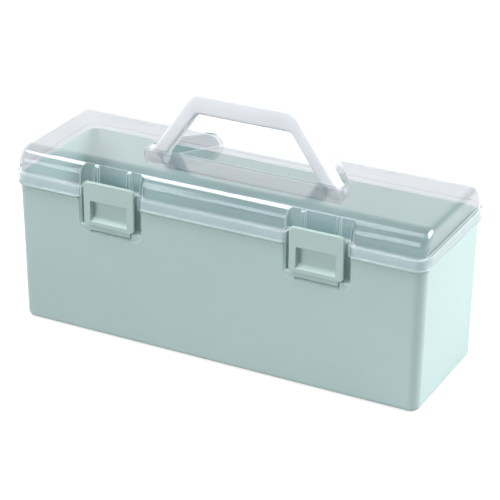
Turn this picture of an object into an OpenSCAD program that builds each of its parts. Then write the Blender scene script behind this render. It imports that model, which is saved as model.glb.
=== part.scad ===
// Long hobby box: a tapered bin, a clear domed lid on snap-on hinges, a folding
// carrying handle that lies in a well in the lid, and two latches on the front.
// X runs along the box, Y from the front (-Y) to the hinges (+Y), Z up.
// The origin is the middle of the underside.

/* [Body] */
// Length of the bin at the floor
body_l = 338; // [300:1:380]
// Width of the bin at the floor
body_w = 108.5; // [104:0.5:124]
// Height of the bin's rim
body_h = 123.5; // [100:0.5:150]
// How much each side leans out between floor and rim
flare = 1.6; // [0.6:0.1:2.4]
// Radius of the bin's upright corners at the floor
corner_r = 8; // [6:0.5:11]
// Rounding between the sides and the underside
foot_r = 4; // [2:0.5:5]
// Wall thickness of the bin
wall = 2; // [1.6:0.1:2.6]
// Thickness of the bin's bottom
floor_t = 2.4; // [2:0.1:4]
// How far the rim stands up inside the lid's skirt
rim_stand = 7; // [5.5:0.5:9]

/* [Lid] */
// Height of the lid's flat top above the underside of its flange
lid_h = 21.2; // [19:0.2:26]
// Wall thickness of the lid
lid_t = 1.9; // [1.5:0.1:2.2]
// Thickness of the flange that rests over the rim
flange_t = 2.2; // [1.8:0.1:3]
// Radius between the lid's long walls and its top
dome_r = 16; // [14:0.5:18]
// Fillet round the lid's two end faces
end_r = 6; // [5:0.5:7]
// How far the lid's long walls lean in below the dome
lean = 0.6; // [0:0.1:1.2]
// Side clearance between the rim and the lid's skirt
lid_clear = 0.4; // [0.3:0.05:0.6]
// Upright clearance between seats of separate pieces
seat_gap = 0.3; // [0.2:0.05:0.4]

/* [Handle] */
// Thickness of the handle from front to back
handle_t = 12.8; // [11.6:0.1:13.4]
// Height of the handle above the lid's top
handle_rise = 51.5; // [46:0.5:53]
// Width across the legs at the pivots
foot_w = 164.8; // [156:0.2:170]
// Width across the top corners, before rounding
top_w = 83.8; // [76:0.2:92]
// Width of one leg at the pivots, measured along X
leg_w = 14.4; // [12:0.1:16]
// Width of the finger gap under the grip
gap_w = 79.2; // [72:0.2:82]
// Height of the grip bar
grip_h = 17.3; // [14:0.1:19]
// Radius of the handle's outer corners
grip_r = 12; // [8:0.5:14]
// Radius of the corners of the finger gap
gap_r = 5; // [3:0.5:7]
// Rounding along the handle's edges
edge_r = 3; // [1.5:0.1:4]
// Clearance of the handle in its well
well_gap = 0.35; // [0.3:0.05:0.5]
// Room beside the folded legs
side_room = 3.1; // [2:0.1:5]
// How much is cut off the outer corners of the feet
foot_trim = 0.6; // [0.3:0.1:1.5]
// Radius of the handle's pivot pins
pivot_r = 2.2; // [1.8:0.1:2.6]
// Length of a pivot pin
pivot_l = 2.6; // [2.4:0.1:3.2]
// Rounding along the slot's front lower edge, inside
trough_r = 2.9; // [2:0.1:3.2]

/* [Latches] */
// Distance between the middles of the two latches
latch_pitch = 174; // [150:1:190]
// Width of a latch
latch_w = 44; // [40:0.5:50]
// Height of a latch
latch_h = 36.3; // [34:0.1:40]
// Thickness of the latch's face plate
plate_t = 2.2; // [1.8:0.1:2.6]
// How far the face plate stands in front of the rim
latch_proud = 2.35; // [2:0.05:3]
// How far a latch reaches above the flange's underside
latch_over = 6.9; // [6:0.1:8]
// Corner radius of the face plate
latch_r = 4; // [3:0.5:6]
// Rounding round the front of the face plate
latch_edge = 1.1; // [0.6:0.1:1.4]
// How far the stiffening wall behind the plate keeps from its edge
skirt_set = 2.1; // [1.6:0.1:3]
// Depth of the latch's stiffening wall
skirt_d = 3.4; // [2.6:0.1:3.6]
// Width of the finger dish
dish_w = 32; // [26:0.5:34]
// Height of the finger dish
dish_h = 17; // [14:0.5:18]
// Depth of the finger dish
dish_d = 5.4; // [4.4:0.1:5.6]
// Width of the latch's hinge barrel
barrel_w = 35; // [28:0.5:38]
// Radius of the hinge barrel
barrel_r = 2.7; // [2.5:0.05:2.9]
// Radius of the bar the latch snaps onto
bar_r = 1.5; // [1.3:0.05:1.6]
// Width of the hook behind the latch's top edge
hook_w = 28; // [20:0.5:34]
// Gap between the hook and the lid's ledge
hook_gap = 0.35; // [0.3:0.05:0.5]
// Side gap between a latch and its pocket
pocket_room = 3.75; // [2:0.25:5]
// Rounding of the pockets' and recesses' upright inner corners
pocket_fillet = 3; // [1.5:0.5:4]
// Bevel round the mouth of a latch pocket
mouth_bevel = 1.6; // [0.8:0.1:2.2]
// Depth of the latch pockets behind the rim
pocket_d = 7.15; // [6.8:0.05:7.6]
// Width of a rib in the lid's latch recess
rib_t = 3; // [1.6:0.1:4]
// Depth of those ribs
rib_d = 2.9; // [2:0.1:3.2]
// Distance between the two ribs of a recess
rib_pitch = 28.4; // [22:0.2:34]

/* [Lid hinges] */
// Distance between the middles of the two lid hinges
hinge_pitch = 200; // [160:1:240]
// Width of the lid's hinge clip
clip_w = 30; // [24:0.5:40]
// Thickness of the bin's hinge ears
ear_t = 3; // [2.4:0.1:4]
// Radius of the hinge bar
hinge_r = 2; // [1.6:0.1:2.2]
// Wall of clip and ears around the bar
hinge_wall = 1.8; // [1.5:0.1:2.2]
// Gap between a clip and the ears beside it
ear_play = 0.5; // [0.3:0.05:0.8]
// Radial clearance on every pin and bar
pin_clear = 0.06; // [0.03:0.01:0.09]

/* [Hidden] */
$fn = 48;
eps = 0.01;
mint = [0.70, 0.82, 0.80];
clear = [0.86, 0.90, 0.94, 0.45];
milk = [0.93, 0.94, 0.96, 0.85];

// rim, skirt and lid levels
rim_x = body_l / 2 + flare;
rim_y = body_w / 2 + flare;
rim_r = corner_r + flare;
skirt_in = lid_clear;
skirt_out = lid_clear + lid_t;
ledge_z = body_h - rim_stand;
skirt_z = ledge_z + seat_gap;
seat_z = body_h + seat_gap;
flange_z = seat_z + flange_t;
lid_top = seat_z + lid_h;
lip_h = 0.9;
lip_ramp = 2.2;

// handle pivot and well
pivot_z = lid_top - well_gap - handle_t / 2;
well_z = pivot_z - handle_t / 2 - well_gap;
slot_y = handle_t / 2 + well_gap;
disc_x = foot_w / 2 - foot_trim;
slot_x = disc_x + well_gap;
grip_top = lid_top + handle_rise - pivot_z;
leg_slope = (foot_w - top_w) / 2 / grip_top;
back_y = rim_y + 4;

// latch planes, hinge line and pocket
face_y = -(rim_y + latch_proud);
plate_y = face_y + plate_t;
pocket_y = -(rim_y - pocket_d);
latch_top = seat_z + latch_over;
latch_bot = latch_top - latch_h;
bar_y = face_y + 4.9;
bar_z = latch_bot - 2.8;
pocket_w = latch_w + 2 * pocket_room;
pocket_z = bar_z - barrel_r - 0.6;
pocket_r = 6;
hook_y = plate_y + 3.6;
catch_y = hook_y + hook_gap;

// lid hinge line
clip_r = hinge_r + hinge_wall;
hinge_y = rim_y + skirt_out + 0.55 + clip_r;
hinge_z = ledge_z - 2;

// ---------- shape helpers ----------

// closed outline of a rounded rectangle with n steps in each corner
function ring(hx, hy, r, z, n = 10) = [
    for (c = [[1, -1, -90], [1, 1, 0], [-1, 1, 90], [-1, -1, 180]])
        for (k = [0 : n])
            let (a = c[2] + 90 * k / n)
            [c[0] * (hx - r) + r * cos(a), c[1] * (hy - r) + r * sin(a), z]
];

// solid skin over a list of rings with equal point counts
module loft(rings) {
    m = len(rings);
    n = len(rings[0]);
    polyhedron(
        points = [for (r = rings) each r],
        faces = concat(
            [[for (i = [0 : n - 1]) i]],
            [for (j = [0 : m - 2]) for (i = [0 : n - 1])
                [j * n + i, (j + 1) * n + i, (j + 1) * n + (i + 1) % n]],
            [for (j = [0 : m - 2]) for (i = [0 : n - 1])
                [j * n + i, (j + 1) * n + (i + 1) % n, j * n + (i + 1) % n]],
            [[for (i = [n - 1 : -1 : 0]) (m - 1) * n + i]]
        )
    );
}

// rounded rectangle with true arcs
module rounded(hx, hy, r) {
    square([2 * (hx - r), 2 * hy], center = true);
    square([2 * hx, 2 * (hy - r)], center = true);
    for (sx = [-1, 1]) for (sy = [-1, 1])
        translate([sx * (hx - r), sy * (hy - r)]) circle(r);
}

// extrudes a Y-Z outline along X, centred on x
module along_x(x, w) {
    translate([x - w / 2, 0, 0]) rotate([90, 0, 90]) linear_extrude(w) children();
}

// extrudes an X-Z outline along Y between two planes
module along_y(y0, y1) {
    translate([0, y1, 0]) rotate([90, 0, 0]) linear_extrude(y1 - y0) children();
}

// round rod along X, centred on x
module rod(x, w, y, z, r) {
    translate([x - w / 2, y, z]) rotate([0, 90, 0]) cylinder(h = w, r = r);
}

// ---------- bin ----------

function lean_out(z) = flare * z / body_h;

function body_ring(z, out = 0, r_in = 0) =
    ring(body_l / 2 + lean_out(z) + out, body_w / 2 + lean_out(z) + out, corner_r + lean_out(z) + out, z);

module body_outside() {
    loft(concat(
        [for (k = [0 : 4])
            let (a = 22.5 * k, d = foot_r * (1 - sin(a)), z = foot_r * (1 - cos(a)))
            ring(body_l / 2 + lean_out(z) - d, body_w / 2 + lean_out(z) - d, corner_r + lean_out(z) - d, z)],
        [
            body_ring(ledge_z - lip_h - lip_ramp),
            body_ring(ledge_z - lip_h, skirt_out),
            body_ring(ledge_z, skirt_out),
            body_ring(ledge_z),
            body_ring(body_h)
        ]
    ));
}

module body_inside() {
    r = foot_r * 0.75;
    loft(concat(
        [for (k = [0 : 4])
            let (a = 22.5 * k, d = r * (1 - sin(a)), z = floor_t + r * (1 - cos(a)))
            body_ring(z, -wall - d)],
        [body_ring(body_h + 1, -wall)]
    ));
}

// pocket outline behind a latch, open at the top
module pocket_face(grow = 0) {
    hw = pocket_w / 2 + grow;
    r = pocket_r + grow;
    z0 = pocket_z - grow;
    translate([-hw, z0 + r]) square([2 * hw, lid_top]);
    translate([-hw + r, z0]) square([2 * (hw - r), lid_top]);
    for (s = [-1, 1]) translate([s * (hw - r), z0 + r]) circle(r);
}

// plan of a pocket or recess from in front of the box to its back wall
module pocket_plan(grow = 0) {
    hw = pocket_w / 2 + grow;
    r = pocket_fillet + grow;
    y = pocket_y + grow;
    translate([-hw, -body_w]) square([2 * hw, body_w + y - r]);
    translate([-hw + r, -body_w]) square([2 * (hw - r), body_w + y]);
    for (s = [-1, 1]) translate([s * (hw - r), y - r]) circle(r);
}

module latch_pocket(x) {
    translate([x, 0, 0]) {
        intersection() {
            along_y(-body_w, pocket_y + 1) pocket_face();
            linear_extrude(lid_top) pocket_plan();
        }
        hull() {
            along_y(-rim_y - skirt_out - 1, -rim_y + 0.4) pocket_face(mouth_bevel + 0.2);
            along_y(-rim_y, -rim_y + 0.4 + mouth_bevel) pocket_face();
        }
    }
}

module pocket_lining(x) {
    translate([x, 0, 0]) intersection() {
        along_y(-body_w, pocket_y + wall + 1) pocket_face(wall);
        linear_extrude(lid_top) pocket_plan(wall);
    }
}

// blocks at the foot of a pocket that hold the ends of the latch bar
module bar_blocks(x) {
    w = (pocket_w - barrel_w) / 2 + 0.65;
    translate([x, 0, 0]) intersection() {
        for (s = [-1, 1]) along_x(s * (barrel_w / 2 + 0.35 + w / 2), w) polygon([
            [bar_y - 1.6, pocket_z - 2], [bar_y - 1.6, bar_z + 1.2], [bar_y - 0.6, bar_z + 2.2],
            [pocket_y + 1, bar_z + 2.2], [pocket_y + 1, pocket_z - 2]
        ]);
        along_y(-body_w, pocket_y + 1.5) pocket_face(1.2);
    }
}

module hinge_ear(x) {
    along_x(x, ear_t) {
        translate([hinge_y, hinge_z]) circle(clip_r);
        polygon([
            [rim_y - 1.5, ledge_z - 0.4],
            [hinge_y, ledge_z - 0.4],
            [hinge_y, hinge_z - clip_r],
            [rim_y - 1.5, hinge_z - clip_r - 10]
        ]);
    }
}

module body() {
    color(mint) {
        difference() {
            body_outside();
            difference() {
                body_inside();
                for (s = [-1, 1]) pocket_lining(s * latch_pitch / 2);
            }
            for (s = [-1, 1]) latch_pocket(s * latch_pitch / 2);
        }
        for (s = [-1, 1]) {
            rod(s * latch_pitch / 2, barrel_w + 4, bar_y, bar_z, bar_r);
            bar_blocks(s * latch_pitch / 2);
            for (e = [-1, 1])
                hinge_ear(s * hinge_pitch / 2 + e * (clip_w / 2 + ear_play + ear_t / 2));
            rod(s * hinge_pitch / 2, clip_w + 2 * ear_play + ear_t, hinge_y, hinge_z, hinge_r);
        }
    }
}

// ---------- lid ----------

// cross-section of the dome, moved in by d, as Y-Z points
function dome_section(x, d, z0, n = 10) =
    let (hy = rim_y - d, cy = rim_y - lean - dome_r, cz = lid_top - dome_r, r = dome_r - d)
    concat(
        [[x, -hy, z0], [x, hy, z0]],
        [for (k = [0 : n]) let (a = 90 * k / n) [x, cy + r * cos(a), cz + r * sin(a)]],
        [for (k = [0 : n]) let (a = 90 + 90 * k / n) [x, -cy + r * cos(a), cz + r * sin(a)]]
    );

// dome with filleted end faces, moved in by t all round
module dome(t, z0) {
    hx = rim_x - t;
    r = end_r - t;
    m = 6;
    loft(concat(
        [for (k = [m : -1 : 0]) let (a = 90 * k / m)
            dome_section(-(hx - r + r * sin(a)), t + r * (1 - cos(a)), z0)],
        [for (k = [0 : m]) let (a = 90 * k / m)
            dome_section(hx - r + r * sin(a), t + r * (1 - cos(a)), z0)]
    ));
}

// front half of the slot for the feet, grown by d, with a rounded lower edge
module trough(d, top) {
    r = trough_r + d;
    hy = slot_y + d;
    z0 = well_z - d;
    along_x(0, 2 * (slot_x + d)) {
        translate([-hy, z0 + r]) square([hy + 1, top - z0 - r]);
        translate([-hy + r, z0]) square([hy + 1 - r, top - z0]);
        translate([-hy + r, z0 + r]) circle(r);
    }
}

// plan of the rest of the well: a slot for the feet and a trapezium for the folded handle
module well_plan() {
    x1 = foot_w / 2 - leg_slope * slot_y + side_room;
    x2 = foot_w / 2 - leg_slope * back_y + side_room;
    polygon([[-slot_x, 0], [slot_x, 0], [slot_x, slot_y], [x1, slot_y], [x2, back_y],
        [-x2, back_y], [-x1, slot_y], [-slot_x, slot_y]]);
}

module well() {
    translate([0, 0, well_z]) linear_extrude(lid_top) well_plan();
    trough(0, lid_top + 1);
}

module well_lining() {
    translate([0, 0, well_z - lid_t]) linear_extrude(lid_top - well_z + lid_t - eps) offset(delta = lid_t) well_plan();
    trough(lid_t, lid_top - eps);
    for (s = [-1, 1]) rod(s * (slot_x + pivot_l / 2), pivot_l + 1.8, 0, pivot_z, pivot_r + 2.4);
}

// room for a latch, with two ribs left standing on its back wall
module recess_cut(x) {
    difference() {
        translate([x, 0, flange_z]) linear_extrude(lid_top) pocket_plan();
        for (s = [-1, 1])
            translate([x + s * rib_pitch / 2 - rib_t / 2, pocket_y - rib_d, flange_z - 1])
                cube([rib_t, rib_d + 1, lid_top]);
    }
    translate([x - pocket_w / 2, -body_w, skirt_z - 1]) cube([pocket_w, body_w + catch_y, lid_top]);
}

module recess_lining(x) {
    translate([x, 0, seat_z]) linear_extrude(lid_top) pocket_plan(lid_t);
}

module hinge_clip(x) {
    difference() {
        along_x(x, clip_w) {
            translate([hinge_y, hinge_z]) circle(clip_r);
            polygon([
                [rim_y + skirt_out - 0.8, skirt_z + 0.8],
                [rim_y + skirt_out - 0.8, flange_z - 0.8],
                [hinge_y + 1.4, hinge_z + clip_r - 0.5],
                [hinge_y - 2.2, hinge_z + clip_r - 1.4]
            ]);
        }
        rod(x, clip_w + 1, hinge_y, hinge_z, hinge_r + pin_clear);
        translate([x - clip_w / 2 - 0.5, hinge_y - hinge_r * 0.8, hinge_z - clip_r - 1])
            cube([clip_w + 1, hinge_r * 1.6, clip_r + 1]);
    }
}

module lid() {
    color(clear) {
        difference() {
            union() {
                dome(0, seat_z);
                translate([0, 0, skirt_z]) linear_extrude(flange_z - skirt_z)
                    rounded(rim_x + skirt_out, rim_y + skirt_out, rim_r + skirt_out);
            }
            translate([0, 0, skirt_z - 1]) linear_extrude(seat_z - skirt_z + 1)
                rounded(rim_x + skirt_in, rim_y + skirt_in, rim_r + skirt_in);
            difference() {
                dome(lid_t, seat_z - 1);
                well_lining();
                for (s = [-1, 1]) recess_lining(s * latch_pitch / 2);
            }
            well();
            for (s = [-1, 1]) {
                recess_cut(s * latch_pitch / 2);
                rod(s * (slot_x + pivot_l / 2 - 0.25), pivot_l + 0.5, 0, pivot_z, pivot_r + pin_clear);
            }
        }
        for (s = [-1, 1]) hinge_clip(s * hinge_pitch / 2);
    }
}

// ---------- handle ----------

// stations of one leg and half the grip: [inner point, outer point] in X-Z from the pivot line
function unit(v) = v / norm(v);

function corner_arc(p0, pc, r, n) =
    let (u = unit(pc - p0), a0 = atan2(-u[0], u[1]), turn = acos(-u[0]),
        t = r * tan(turn / 2), c = pc - u * t + r * [-u[1], u[0]])
    [for (k = [0 : n]) c + r * [cos(a0 + turn * k / n), sin(a0 + turn * k / n)]];

function leg_out() = corner_arc([foot_w / 2, 0], [top_w / 2, grip_top], grip_r, 8);
function leg_in() = corner_arc([foot_w / 2 - leg_w, 0], [gap_w / 2, grip_top - grip_h], gap_r, 8);

function grip_section(pi, po, n = 3) =
    let (w = norm(po - pi), e = (po - pi) / w, h = handle_t / 2)
    [for (c = [[0, -1, 180], [1, -1, 270], [1, 1, 0], [0, 1, 90]])
        for (k = [0 : n])
            let (a = c[2] + 90 * k / n,
                s = (c[0] == 0 ? edge_r : w - edge_r) + edge_r * cos(a),
                y = c[1] * (h - edge_r) + edge_r * sin(a))
            [pi[0] + e[0] * s, y, pi[1] + e[1] * s + pivot_z]];

function flip(v) = [-v[0], v[1]];

module handle() {
    out = concat([[foot_w / 2, 0]], leg_out());
    inn = concat([[foot_w / 2 - leg_w, 0]], leg_in());
    n = len(out);
    color(milk) {
        intersection() {
            loft(concat(
                [for (i = [0 : n - 1]) grip_section(inn[i], out[i])],
                [for (i = [n - 1 : -1 : 0]) grip_section(flip(inn[i]), flip(out[i]))]
            ));
            translate([-disc_x, -handle_t, pivot_z - handle_t]) cube([2 * disc_x, 2 * handle_t, 2 * handle_rise]);
        }
        for (s = [-1, 1]) {
            rod(s * (disc_x + foot_w / 2 - leg_w) / 2, disc_x - foot_w / 2 + leg_w, 0, pivot_z, handle_t / 2);
            rod(s * (disc_x + pivot_l / 2 - 0.5), pivot_l + 1 - well_gap, 0, pivot_z, pivot_r);
        }
    }
}

// ---------- latches ----------

module plate_outline(d = 0) {
    translate([0, (latch_top + latch_bot) / 2]) rounded(latch_w / 2 - d, latch_h / 2 - d, max(latch_r - d, 0.4));
}

module latch(x) {
    dish_top = latch_top - 15.5;
    dish_bot = dish_top - dish_h;
    dish_y = face_y + dish_d;
    translate([x, 0, 0]) difference() {
        union() {
            hull() for (a = [0 : 30 : 90])
                along_y(face_y + latch_edge * (1 - sin(a)), plate_y) plate_outline(latch_edge * (1 - cos(a)));
            difference() {
                along_y(plate_y - 0.5, plate_y + skirt_d) plate_outline(skirt_set);
                along_y(plate_y - 1, plate_y + skirt_d + 1) plate_outline(skirt_set + 1.8);
                translate([-latch_w, plate_y, latch_bot - 1]) cube([2 * latch_w, 20, 4]);
            }
            translate([-dish_w / 2 - 1.8, plate_y - 0.5, dish_bot - 1.4])
                cube([dish_w + 3.6, dish_y + 1.8 - plate_y + 0.5, dish_h + 3.2]);
            along_x(0, hook_w) polygon([
                [plate_y - 0.5, flange_z - 1.6], [plate_y, flange_z - 1.6], [hook_y, flange_z + 0.5],
                [hook_y, flange_z + 2.4], [plate_y, latch_top - 1], [plate_y - 0.5, latch_top - 1]
            ]);
            rod(0, barrel_w, bar_y, bar_z, barrel_r);
            along_x(0, barrel_w) polygon([
                [bar_y - 1.9, bar_z + 1.6], [bar_y - barrel_r, bar_z + 1.6], [bar_y - barrel_r, latch_bot],
                [plate_y - 1, latch_bot], [plate_y - 1, latch_bot + 3.6], [bar_y - 1.9, latch_bot + 3.6]
            ]);
        }
        along_x(0, dish_w) polygon([
            [face_y - 1, dish_bot], [face_y, dish_bot], [dish_y, dish_bot + 3.6],
            [dish_y, dish_top], [face_y - 1, dish_top]
        ]);
        rod(0, barrel_w + 1, bar_y, bar_z, bar_r + pin_clear);
        translate([-barrel_w / 2 - 0.5, bar_y, bar_z - bar_r * 0.8])
            cube([barrel_w + 1, barrel_r + 1, bar_r * 1.6]);
    }
}

module left_latch() {
    color(mint) latch(-latch_pitch / 2);
}

module right_latch() {
    color(mint) latch(latch_pitch / 2);
}

body();
lid();
handle();
left_latch();
right_latch();
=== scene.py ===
# %% [markdown]
# # A long art supply box in pale mint plastic
#
# The box is five moulded pieces: a bin, a clear lid on snap hinges, a folding
# carrying handle and two latches. Their solids are already drawn, each with its
# place in its own mesh. This lesson gives them moulded plastic finishes, sets a
# quiet studio round them and puts the camera where a catalogue picture would be
# taken from.

import math

import bpy
from mathutils import Matrix, Vector

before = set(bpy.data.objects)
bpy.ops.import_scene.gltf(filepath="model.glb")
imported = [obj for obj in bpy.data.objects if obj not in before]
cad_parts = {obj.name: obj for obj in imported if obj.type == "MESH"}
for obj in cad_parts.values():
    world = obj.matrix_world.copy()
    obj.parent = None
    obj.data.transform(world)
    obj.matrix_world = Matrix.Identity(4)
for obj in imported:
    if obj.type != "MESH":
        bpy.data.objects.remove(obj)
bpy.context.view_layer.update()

# %% [markdown]
# ## The camera
#
# A catalogue picture of a small product is taken with a long lens from well away,
# so that upright edges stay upright. The camera stands about one and a half
# metres off, to the right of the front and a little above.

# %% Camera
TURN = 26.78  # degrees round from the front, towards the right end
RISE = 25.12  # degrees up
ROLL = 0.627  # degrees of tilt
STAND = Vector((0.6257, -1.2142, 0.7183))  # metres, in the box's frame
FOCAL_LENGTH, SENSOR_WIDTH = 141.09, 36.0  # millimetres
SHIFT = (-0.0205, -0.0117)  # in sensor widths, frames the box
FAR_CLIP = 20.0


def camera_axes(turn, rise, roll):
    """Right, up and back of a camera that looks at the object from `turn` degrees
    round from the front and `rise` degrees up, then rolls by `roll` degrees."""
    a, e, r = (math.radians(v) for v in (turn, rise, roll))
    back = Vector((math.sin(a) * math.cos(e), -math.cos(a) * math.cos(e), math.sin(e)))
    level = Vector((math.cos(a), math.sin(a), 0.0))
    upward = back.cross(level)
    right = math.cos(r) * level + math.sin(r) * upward
    up = math.cos(r) * upward - math.sin(r) * level
    return right, up, back


lens = bpy.data.cameras.new("picture_camera")
lens.lens = FOCAL_LENGTH
lens.sensor_width = SENSOR_WIDTH
lens.shift_x, lens.shift_y = SHIFT
lens.clip_end = FAR_CLIP
camera = bpy.data.objects.new("picture_camera", lens)
bpy.context.scene.collection.objects.link(camera)
right, up, back = camera_axes(TURN, RISE, ROLL)
camera.matrix_world = Matrix(
    (
        (right.x, up.x, back.x, STAND.x),
        (right.y, up.y, back.y, STAND.y),
        (right.z, up.z, back.z, STAND.z),
        (0.0, 0.0, 0.0, 1.0),
    )
)
bpy.context.scene.camera = camera
bpy.context.scene.view_settings.view_transform = "Standard"
print("camera at", tuple(round(v, 3) for v in STAND))

# %% [markdown]
# ## The studio
#
# The box stands on a white sweep with no horizon. World and floor are white where
# the eye, a mirror or a look through clear plastic meets them, and dimmer as
# light on the box, so the plastic keeps its own colour. Soft lamps do the rest:
#
# - one in front to the left, so latches and dishes cast their shade to the right;
# - one to the right and a little behind, which makes the end face the brightest
#   and turns sharply into shade at the upright corner;
# - one overhead for the tops;
# - one overhead to the left that only reflections see, for the white stripe along
#   the lid where it rolls over;
# - a wide one behind, also only for reflections, for the pale sheen on the lid's
#   flat top.

# %% World and lamps
WORLD_LIGHT = 0.2


def combine(tree, how, a, b):
    """Socket of the Math operation `how` on `a` and `b`, each a number or a socket."""
    node = tree.nodes.new("ShaderNodeMath")
    node.operation = how
    for value, socket in ((a, node.inputs[0]), (b, node.inputs[1])):
        if isinstance(value, (int, float)):
            socket.default_value = value
        else:
            tree.links.new(value, socket)
    return node.outputs[0]


def seen_by_eye(tree):
    """Socket that is 1 where the eye, a reflection or a look through clear plastic
    meets the surface, the largest of three Light Path outputs, and 0 for light."""
    path = tree.nodes.new("ShaderNodeLightPath")
    seen = path.outputs["Is Camera Ray"]
    for kind in ("Is Transmission Ray", "Is Glossy Ray"):
        seen = combine(tree, "MAXIMUM", seen, path.outputs[kind])
    return seen


def ramp(tree, value, low, high, start=0.0, end=1.0):
    """Socket that goes evenly from `low` to `high` as `value` goes from `start` to
    `end`, and stays level outside."""
    node = tree.nodes.new("ShaderNodeMapRange")
    node.inputs["From Min"].default_value = start
    node.inputs["From Max"].default_value = end
    node.inputs["To Min"].default_value = low
    node.inputs["To Max"].default_value = high
    tree.links.new(value, node.inputs["Value"])
    return node.outputs["Result"]


def white_world(strength):
    """A world that is plain white to look at and gives `strength` of even light."""
    world = bpy.data.worlds.new("studio")
    bpy.context.scene.world = world
    world.use_nodes = True
    tree = world.node_tree
    shade = tree.nodes["Background"]
    shade.inputs["Color"].default_value = (1.0, 1.0, 1.0, 1.0)
    level = ramp(tree, seen_by_eye(tree), strength, 1.0)
    tree.links.new(level, shade.inputs["Strength"])


def softbox(name, place, aim, width, tall, power, lights=True, mirrored=True):
    """An area lamp of `width` by `tall` metres at `place`, turned to `aim`. One that
    isn't `mirrored` leaves no reflection of itself, and one that doesn't `lights`
    leaves only its reflection."""
    data = bpy.data.lights.new(name, "AREA")
    data.shape = "RECTANGLE"
    data.size, data.size_y = width, tall
    data.energy = power
    lamp = bpy.data.objects.new(name, data)
    lamp.location = place
    heading = Vector(aim) - Vector(place)
    lamp.rotation_euler = heading.to_track_quat("-Z", "Y").to_euler()
    lamp.visible_diffuse = lights
    lamp.visible_glossy = mirrored
    bpy.context.scene.collection.objects.link(lamp)
    print(name, "at", place, "power", power)


white_world(WORLD_LIGHT)
softbox(
    "front_lamp",
    place=(-1.15, -2.75, 1.2),
    aim=(0.0, 0.0, 0.08),
    width=1.4,
    tall=1.4,
    power=41.0,
    mirrored=False,
)
softbox(
    "side_lamp",
    place=(1.3, 0.85, 0.75),
    aim=(0.1, 0.0, 0.08),
    width=0.9,
    tall=0.9,
    power=34.0,
)
softbox(
    "top_lamp",
    place=(-0.1, -0.35, 1.6),
    aim=(0.0, 0.0, 0.1),
    width=1.4,
    tall=0.8,
    power=21.0,
    mirrored=False,
)
softbox(
    "stripe_lamp",
    place=(-0.85, -0.5, 1.6),
    aim=(-0.85, -0.1, 0.1),
    width=0.54,
    tall=0.44,
    power=8.0,
    lights=False,
)
softbox(
    "back_lamp",
    place=(-0.45, 1.7, 0.95),
    aim=(-0.05, 0.0, 0.14),
    width=2.2,
    tall=1.1,
    power=4.2,
    lights=False,
)

# %% Floor
PAPER = (0.38, 0.38, 0.38, 1.0)  # what the lamps meet
LIFT = (0.75, 1.0)  # glow for the eye, near the box and far from it
LIFT_REACH = (0.4, 2.0)  # metres from the box between which the glow grows


def white_floor(half_width=6.0, drop=0.0004):
    """A flat sweep, `drop` metres under the box: pale matte paper for the lamps,
    lifted to white for the eye, with the box's soft shadow left on it. The lift
    grows away from the box, where the lamps reach less."""
    mesh = bpy.data.meshes.new("floor")
    signs = ((-1, -1), (1, -1), (1, 1), (-1, 1))
    corners = [(x * half_width, y * half_width, 0) for x, y in signs]
    mesh.from_pydata(corners, [], [(0, 1, 2, 3)])
    floor = bpy.data.objects.new("floor", mesh)
    floor.location.z = -drop
    bpy.context.scene.collection.objects.link(floor)
    paper = bpy.data.materials.new("white_paper")
    paper.use_nodes = True
    tree = paper.node_tree
    shade = tree.nodes["Principled BSDF"]
    shade.inputs["Base Color"].default_value = PAPER
    shade.inputs["Roughness"].default_value = 0.9
    shade.inputs["Specular IOR Level"].default_value = 0.0
    shade.inputs["Emission Color"].default_value = (1.0, 1.0, 1.0, 1.0)
    place = tree.nodes.new("ShaderNodeTexCoord")
    away = tree.nodes.new("ShaderNodeVectorMath")
    away.operation = "LENGTH"
    tree.links.new(place.outputs["Object"], away.inputs[0])
    lift = ramp(tree, away.outputs["Value"], *LIFT, *LIFT_REACH)
    glow = combine(tree, "MULTIPLY", seen_by_eye(tree), lift)
    tree.links.new(glow, shade.inputs["Emission Strength"])
    mesh.materials.append(paper)


white_floor()

# %% [markdown]
# ## Rounded faces that shade smoothly
#
# The solids come as loose triangles. A moulding has no facets: its corners turn
# smoothly, and only real edges are sharp. Merging the corners and shading by
# angle could be done by hand in edit mode. A small geometry node tree does it as
# a modifier, so the solids themselves stay as they are, and a Weighted Normal
# modifier then keeps the large flat faces flat.

# %% Smooth shading
SMOOTH_BELOW = 24.0  # degrees between two faces
MERGE_WITHIN = 2e-6  # metres


def smooth_tree(limit_degrees, merge_distance):
    """Geometry nodes: corners closer than `merge_distance` become one, all faces
    shade smooth, and edges that turn by more than `limit_degrees` stay sharp."""
    tree = bpy.data.node_groups.new("moulded_shading", "GeometryNodeTree")
    for way in ("INPUT", "OUTPUT"):
        tree.interface.new_socket(
            name="Geometry", in_out=way, socket_type="NodeSocketGeometry"
        )
    enter, leave = tree.nodes.new("NodeGroupInput"), tree.nodes.new("NodeGroupOutput")
    merge = tree.nodes.new("GeometryNodeMergeByDistance")
    merge.inputs["Distance"].default_value = merge_distance
    faces = tree.nodes.new("GeometryNodeSetShadeSmooth")
    faces.domain = "FACE"
    edges = tree.nodes.new("GeometryNodeSetShadeSmooth")
    edges.domain = "EDGE"
    edges.inputs["Shade Smooth"].default_value = False
    angle = tree.nodes.new("GeometryNodeInputMeshEdgeAngle")
    sharp = tree.nodes.new("FunctionNodeCompare")
    sharp.operation = "GREATER_THAN"
    sharp.inputs["B"].default_value = math.radians(limit_degrees)
    link = tree.links.new
    link(enter.outputs["Geometry"], merge.inputs["Geometry"])
    link(merge.outputs["Geometry"], faces.inputs["Geometry"])
    link(faces.outputs["Geometry"], edges.inputs["Geometry"])
    link(angle.outputs["Unsigned Angle"], sharp.inputs["A"])
    link(sharp.outputs["Result"], edges.inputs["Selection"])
    link(edges.outputs["Geometry"], leave.inputs["Geometry"])
    return tree


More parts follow.
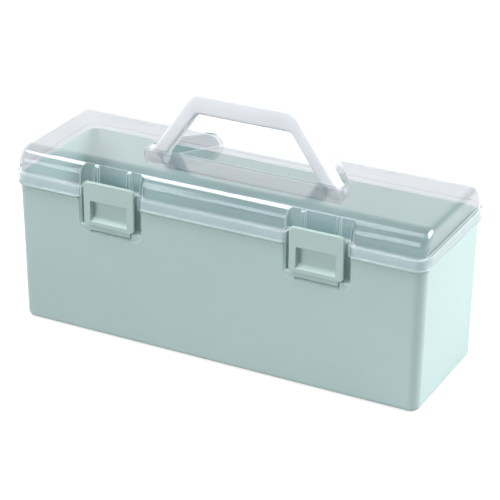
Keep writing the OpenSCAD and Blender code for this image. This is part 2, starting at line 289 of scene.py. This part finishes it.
SMOOTH = smooth_tree(SMOOTH_BELOW, MERGE_WITHIN)
for name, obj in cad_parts.items():
    obj.modifiers.new("moulded_shading", "NODES").node_group = SMOOTH
    flat = obj.modifiers.new("flat_faces", "WEIGHTED_NORMAL")
    flat.keep_sharp = True
    print(name, len(obj.data.polygons), "triangles, smooth below", SMOOTH_BELOW, "degrees")

# %% [markdown]
# ## What moulded plastic shows
#
# Three effects are on every piece, so each is a node group with its own values in
# each material. The first is the mould's skin: a spark-eroded grain a fraction of
# a millimetre across, and a tint that drifts slowly where the wall is thicker.
# The second is the edge: a mould leaves a small radius on it, which catches light
# and is rubbed first. The third is handling: faint hairlines, in patches, that
# change only the gloss. All three could be painted; as functions of Object
# coordinates they need no picture and hold at any distance.

# %% Effect groups
# Each band is the pair of values between which a ramp goes from one end to the other.
COARSE_SCALE, COARSE_SHARE = 0.3, 0.5  # the coarser grain beside the fine one
DRIFT_BAND = (0.3, 0.7)
LEAN_BAND = (0.8, 0.985)  # cosine between the rounded and the plain normal
WEAR_BAND = (0.35, 0.6)
LINE_BAND = (0.64, 0.72)
PATCH_BAND = (0.45, 0.65)
# how many times a hairline noise is drawn out, and how it is turned, in radians
DRAWN_OUT = (
    ((1.0, 80.0, 80.0), (0.0, 0.2, 0.35)),
    ((60.0, 1.0, 60.0), (0.1, 0.0, -0.5)),
)


def effect(name, inputs, outputs):
    """An empty shader node group: `inputs` are (name, kind, value), `outputs` are
    (name, kind). Gives the tree and its two end nodes."""
    tree = bpy.data.node_groups.new(name, "ShaderNodeTree")
    for label, kind, value in inputs:
        socket = tree.interface.new_socket(name=label, in_out="INPUT", socket_type=kind)
        socket.default_value = value
    for label, kind in outputs:
        tree.interface.new_socket(name=label, in_out="OUTPUT", socket_type=kind)
    return tree, tree.nodes.new("NodeGroupInput"), tree.nodes.new("NodeGroupOutput")


NUMBER, COLOUR, ARROW = "NodeSocketFloat", "NodeSocketColor", "NodeSocketVector"


def noise(tree, place, scale, detail, stretch=None, turn=None):
    """Noise of `detail` octaves at `scale` per metre, a number or a socket. With
    `stretch` and `turn` the pattern is drawn out and turned first."""
    node = tree.nodes.new("ShaderNodeTexNoise")
    node.inputs["Detail"].default_value = detail
    if stretch:
        lay = tree.nodes.new("ShaderNodeMapping")
        lay.inputs["Scale"].default_value = stretch
        lay.inputs["Rotation"].default_value = turn or (0.0, 0.0, 0.0)
        tree.links.new(place, lay.inputs["Vector"])
        place = lay.outputs["Vector"]
    tree.links.new(place, node.inputs["Vector"])
    if isinstance(scale, (int, float)):
        node.inputs["Scale"].default_value = scale
    else:
        tree.links.new(scale, node.inputs["Scale"])
    return node.outputs["Fac"]


def blend(tree, amount, a, b):
    """Socket of the colour that goes from `a` to `b` as `amount` goes from 0 to 1."""
    node = tree.nodes.new("ShaderNodeMix")
    node.data_type = "RGBA"
    tree.links.new(amount, node.inputs["Factor"])
    for value, socket in ((a, node.inputs["A"]), (b, node.inputs["B"])):
        if isinstance(value, tuple):
            socket.default_value = (*value, 1.0)
        else:
            tree.links.new(value, socket)
    return node.outputs["Result"]


def mould_skin():
    """Group: grain height = fine noise plus a little coarser noise; tint = two
    close colours mixed by slow noise."""
    tree, enter, leave = effect(
        "mould_skin",
        [
            ("Grain Scale", NUMBER, 2400.0),
            ("Drift Scale", NUMBER, 9.0),
            ("Light", COLOUR, (0.6, 0.7, 0.7, 1.0)),
            ("Deep", COLOUR, (0.5, 0.6, 0.6, 1.0)),
        ],
        [("Color", COLOUR), ("Height", NUMBER), ("Drift", NUMBER)],
    )
    place = tree.nodes.new("ShaderNodeTexCoord").outputs["Object"]
    coarser = combine(tree, "MULTIPLY", enter.outputs["Grain Scale"], COARSE_SCALE)
    fine = noise(tree, place, enter.outputs["Grain Scale"], 3.0)
    coarse = noise(tree, place, coarser, 1.0)
    slow = noise(tree, place, enter.outputs["Drift Scale"], 3.0)
    drift = ramp(tree, slow, 0.0, 1.0, *DRIFT_BAND)
    tint = blend(tree, drift, enter.outputs["Deep"], enter.outputs["Light"])
    height = combine(tree, "ADD", fine, combine(tree, "MULTIPLY", coarse, COARSE_SHARE))
    for value, label in ((tint, "Color"), (height, "Height"), (drift, "Drift")):
        tree.links.new(value, leave.inputs[label])
    return tree


def rounded_edges():
    """Group: the normal of an edge rounded by `Radius`, and a mask that is 1 where
    that normal leans from the face's own normal, so along edges and ribs."""
    tree, enter, leave = effect(
        "rounded_edges",
        [
            ("Radius", NUMBER, 0.0005),
            ("Wear Scale", NUMBER, 90.0),
            ("Wear", NUMBER, 0.4),
        ],
        [("Mask", NUMBER), ("Normal", ARROW)],
    )
    bevel = tree.nodes.new("ShaderNodeBevel")
    bevel.samples = 6
    tree.links.new(enter.outputs["Radius"], bevel.inputs["Radius"])
    face = tree.nodes.new("ShaderNodeNewGeometry")
    lean = tree.nodes.new("ShaderNodeVectorMath")
    lean.operation = "DOT_PRODUCT"
    tree.links.new(bevel.outputs["Normal"], lean.inputs[0])
    tree.links.new(face.outputs["Normal"], lean.inputs[1])
    edge = ramp(tree, lean.outputs["Value"], 1.0, 0.0, *LEAN_BAND)
    place = tree.nodes.new("ShaderNodeTexCoord").outputs["Object"]
    patches = noise(tree, place, enter.outputs["Wear Scale"], 3.0)
    rubbed = ramp(tree, patches, 0.0, 1.0, *WEAR_BAND)
    kept = combine(tree, "SUBTRACT", 1.0, enter.outputs["Wear"])
    worn = combine(tree, "MULTIPLY", rubbed, enter.outputs["Wear"])
    broken = combine(tree, "ADD", kept, worn)
    tree.links.new(combine(tree, "MULTIPLY", edge, broken), leave.inputs["Mask"])
    tree.links.new(bevel.outputs["Normal"], leave.inputs["Normal"])
    return tree


def hairlines():
    """Group: faint scuffs. Two noises drawn out along crossing directions are cut
    high, so only short thin lines are left, and a slow noise keeps them to patches."""
    tree, enter, leave = effect(
        "hairlines", [("Scale", NUMBER, 20.0)], [("Mask", NUMBER)]
    )
    place = tree.nodes.new("ShaderNodeTexCoord").outputs["Object"]
    scale = enter.outputs["Scale"]
    lines = None
    for stretch, turn in DRAWN_OUT:
        long_noise = noise(tree, place, scale, 2.0, stretch, turn)
        drawn = ramp(tree, long_noise, 0.0, 1.0, *LINE_BAND)
        lines = drawn if lines is None else combine(tree, "MAXIMUM", lines, drawn)
    patches = ramp(tree, noise(tree, place, scale, 2.0), 0.0, 1.0, *PATCH_BAND)
    tree.links.new(combine(tree, "MULTIPLY", lines, patches), leave.inputs["Mask"])
    return tree


SKIN, EDGES, LINES = mould_skin(), rounded_edges(), hairlines()
print("effects:", SKIN.name, EDGES.name, LINES.name)

# %% Placing the effects in a material


def place_effect(tree, source, **values):
    """One of the groups in a material, with `values` given by socket name, where
    an underscore stands for a space and a colour is three numbers."""
    node = tree.nodes.new("ShaderNodeGroup")
    node.node_tree = source
    for label, value in values.items():
        if isinstance(value, tuple):
            value = (*value, 1.0)
        node.inputs[label.replace("_", " ")].default_value = value
    return node


def start_material(name):
    """A new material: its node tree and its Principled shader."""
    made = bpy.data.materials.new(name)
    made.use_nodes = True
    return made, made.node_tree, made.node_tree.nodes["Principled BSDF"]


def relief(tree, height, strength, depth, normal=None):
    """Socket of a normal that `height` disturbs, `depth` metres deep at full."""
    node = tree.nodes.new("ShaderNodeBump")
    node.inputs["Strength"].default_value = strength
    node.inputs["Distance"].default_value = depth
    tree.links.new(height, node.inputs["Height"])
    if normal:
        tree.links.new(normal, node.inputs["Normal"])
    return node.outputs["Normal"]


# %% [markdown]
# ## Mint polypropylene, for the bin and the latches
#
# Polypropylene is opaque, a little waxy, and never quite one colour. The bin has
# a satin grain; the latches come from another mould, finer and slightly glossier,
# with edges that fingers have polished. Both are one function with two sets of
# values, because only the numbers differ.

# %% Mint plastics
# The rim colour paints edges paler: partly rubbed wear, partly a painted highlight where
# the rounded edge catches light.
RIM_HIGHLIGHT_AND_WEAR_SHARE = 0.55  # how far an edge goes towards the rim colour
POLISH = 0.1  # what edges and hairlines take off the roughness
GRAIN_DEPTH = 0.00015  # metres


def opaque_plastic(name, light, deep, rim_highlight_and_wear, rough, grain, bump, radius, wear):
    """A moulded opaque plastic: colour = drifting tint, painted paler towards the rim
    colour along edges, partly rubbed wear and partly a painted highlight;
    roughness = `rough` low to high with the drift, glossier on edges and hairlines;
    normal = rounded edges plus grain."""
    made, tree, shade = start_material(name)
    skin = place_effect(tree, SKIN, Grain_Scale=grain, Light=light, Deep=deep)
    edges = place_effect(tree, EDGES, Radius=radius, Wear=wear)
    lines = place_effect(tree, LINES, Scale=18.0)
    # painted highlight and wear: edges painted paler towards the rim colour
    paler = combine(tree, "MULTIPLY", edges.outputs["Mask"], RIM_HIGHLIGHT_AND_WEAR_SHARE)
    tint = blend(tree, paler, skin.outputs["Color"], rim_highlight_and_wear)
    satin = ramp(tree, skin.outputs["Drift"], *rough)
    marks = combine(tree, "MAXIMUM", edges.outputs["Mask"], lines.outputs["Mask"])
    gloss = combine(tree, "SUBTRACT", satin, combine(tree, "MULTIPLY", marks, POLISH))
    tree.links.new(tint, shade.inputs["Base Color"])
    tree.links.new(gloss, shade.inputs["Roughness"])
    height, round_off = skin.outputs["Height"], edges.outputs["Normal"]
    normal = relief(tree, height, bump, GRAIN_DEPTH, round_off)
    tree.links.new(normal, shade.inputs["Normal"])
    return made


mint = opaque_plastic(
    "mint_plastic",
    light=(0.485, 0.633, 0.622),
    deep=(0.455, 0.600, 0.588),
    rim_highlight_and_wear=(0.60, 0.74, 0.72),
    rough=(0.38, 0.48),
    grain=2200.0,
    bump=0.16,
    radius=0.0006,
    wear=0.5,
)
latch_mint = opaque_plastic(
    "latch_plastic",
    light=(0.470, 0.610, 0.585),
    deep=(0.445, 0.585, 0.560),
    rim_highlight_and_wear=(0.66, 0.80, 0.77),
    rough=(0.32, 0.40),
    grain=3000.0,
    bump=0.10,
    radius=0.0005,
    wear=0.3,
)

# %% [markdown]
# ## Milky plastic, for the handle
#
# The handle is unpigmented polypropylene: light goes a few millimetres into it,
# so edges and thin places look lighter. Subsurface scattering does part of that;
# along the edges a paler colour, a painted highlight, does the rest. Slow
# cloudiness in the tint and a fine grain keep it from looking like wax.

# %% Milky plastic
# The rim colour paints edges paler: a painted highlight for light scattered out at the
# edges, with a little wear.
MILK_RIM_HIGHLIGHT_AND_WEAR_SHARE = 0.5  # how far an edge goes towards the rim colour
MILK_ROUGH = (0.34, 0.5)  # from clean to scuffed
MILK_GRAIN = (0.08, 0.00012)  # strength, and depth in metres


def milky_plastic(light, deep, rim_highlight_and_wear):
    """The handle's plastic: colour = cloudy tint, painted paler towards the rim colour
    along edges as a painted highlight with a little wear; roughness = higher on
    hairlines; normal = rounded edges plus grain."""
    made, tree, shade = start_material("milky_plastic")
    cloud = place_effect(
        tree, SKIN, Grain_Scale=2600.0, Drift_Scale=24.0, Light=light, Deep=deep
    )
    edges = place_effect(tree, EDGES, Radius=0.0008, Wear=0.2)
    lines = place_effect(tree, LINES, Scale=26.0)
    # painted highlight with a little wear: edges painted paler towards the rim colour
    paler = combine(tree, "MULTIPLY", edges.outputs["Mask"], MILK_RIM_HIGHLIGHT_AND_WEAR_SHARE)
    tint = blend(tree, paler, cloud.outputs["Color"], rim_highlight_and_wear)
    tree.links.new(tint, shade.inputs["Base Color"])
    rough = ramp(tree, lines.outputs["Mask"], *MILK_ROUGH)
    tree.links.new(rough, shade.inputs["Roughness"])
    height, round_off = cloud.outputs["Height"], edges.outputs["Normal"]
    normal = relief(tree, height, *MILK_GRAIN, round_off)
    tree.links.new(normal, shade.inputs["Normal"])
    shade.inputs["Subsurface Weight"].default_value = 0.4
    shade.inputs["Subsurface Scale"].default_value = 0.006
    shade.inputs["Subsurface Radius"].default_value = (0.9, 0.95, 1.0)
    return made


milk = milky_plastic(
    light=(0.88, 0.905, 0.955),
    deep=(0.83, 0.855, 0.905),
    rim_highlight_and_wear=(0.93, 0.945, 0.97),
)

# %% [markdown]
# ## Clear plastic, for the lid
#
# Clear styrene passes nearly all light and shows itself by three things: sharp
# reflections, a slight waviness where it flowed in the mould, and bright edges,
# because light that travels inside the wall comes out there. Real refraction at
# every wall would turn the rims dark and noisy, so the bending is kept small and
# a glossy coat gives the reflections of a higher index. Edges are frosted and
# given a painted glow, an emission that stands in for the light that the wall
# brings to them. For shadow rays the wall is half open, because Cycles doesn't
# send lamp light through clear walls by itself, and the bin would look dark.

# %% Clear plastic
# painted glow: the emission colour of the lid's edges, standing in for light the wall
# carries out there
PAINTED_EDGE_GLOW = (0.5, 0.51, 0.51)
SHADOW_PASS = 0.5  # share of lamp light that a wall lets through
HAZE = (0.05, 0.10)  # roughness, low to high with the drift
EDGE_FROST = 0.3  # roughness that an edge adds
SCUFF = 0.35  # share of that frost on a hairline
WAVES = (0.012, 0.0008)  # strength, and depth in metres


def clear_plastic(light, deep):
    """The lid's plastic: roughness = haze plus the frost of edges and hairlines;
    emission = a painted glow along the edges; normal = a slow waviness; alpha =
    lower for shadow rays alone."""
    made, tree, shade = start_material("clear_plastic")
    edges = place_effect(tree, EDGES, Radius=0.0006, Wear=0.1)
    lines = place_effect(tree, LINES, Scale=16.0)
    flow = place_effect(
        tree, SKIN, Grain_Scale=38.0, Drift_Scale=7.0, Light=light, Deep=deep
    )
    tree.links.new(flow.outputs["Color"], shade.inputs["Base Color"])
    marks = combine(tree, "MULTIPLY", lines.outputs["Mask"], SCUFF)
    frost = combine(tree, "MAXIMUM", edges.outputs["Mask"], marks)
    clean = ramp(tree, flow.outputs["Drift"], *HAZE)
    rough = combine(tree, "ADD", clean, combine(tree, "MULTIPLY", frost, EDGE_FROST))
    tree.links.new(rough, shade.inputs["Roughness"])
    # painted glow along the edges: emission, though the lid is no lamp
    glow = blend(tree, edges.outputs["Mask"], (0.0, 0.0, 0.0), PAINTED_EDGE_GLOW)
    tree.links.new(glow, shade.inputs["Emission Color"])
    shade.inputs["Emission Strength"].default_value = 1.0
    normal = relief(tree, flow.outputs["Height"], *WAVES)
    tree.links.new(normal, shade.inputs["Normal"])
    rays = tree.nodes.new("ShaderNodeLightPath")
    wall = ramp(tree, rays.outputs["Is Shadow Ray"], 1.0, 1.0 - SHADOW_PASS)
    tree.links.new(wall, shade.inputs["Alpha"])
    shade.inputs["IOR"].default_value = 1.06
    shade.inputs["Transmission Weight"].default_value = 1.0
    shade.inputs["Coat Weight"].default_value = 1.0
    shade.inputs["Coat Roughness"].default_value = 0.04
    shade.inputs["Coat IOR"].default_value = 1.55
    return made


clear = clear_plastic(light=(0.72, 0.735, 0.757), deep=(0.69, 0.705, 0.73))

# %% Finishes on the pieces
for name, finish in (
    ("body", mint),
    ("lid", clear),
    ("handle", milk),
    ("left_latch", latch_mint),
    ("right_latch", latch_mint),
):
    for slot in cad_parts[name].material_slots:
        slot.material = finish
    print(name, "is", finish.name)
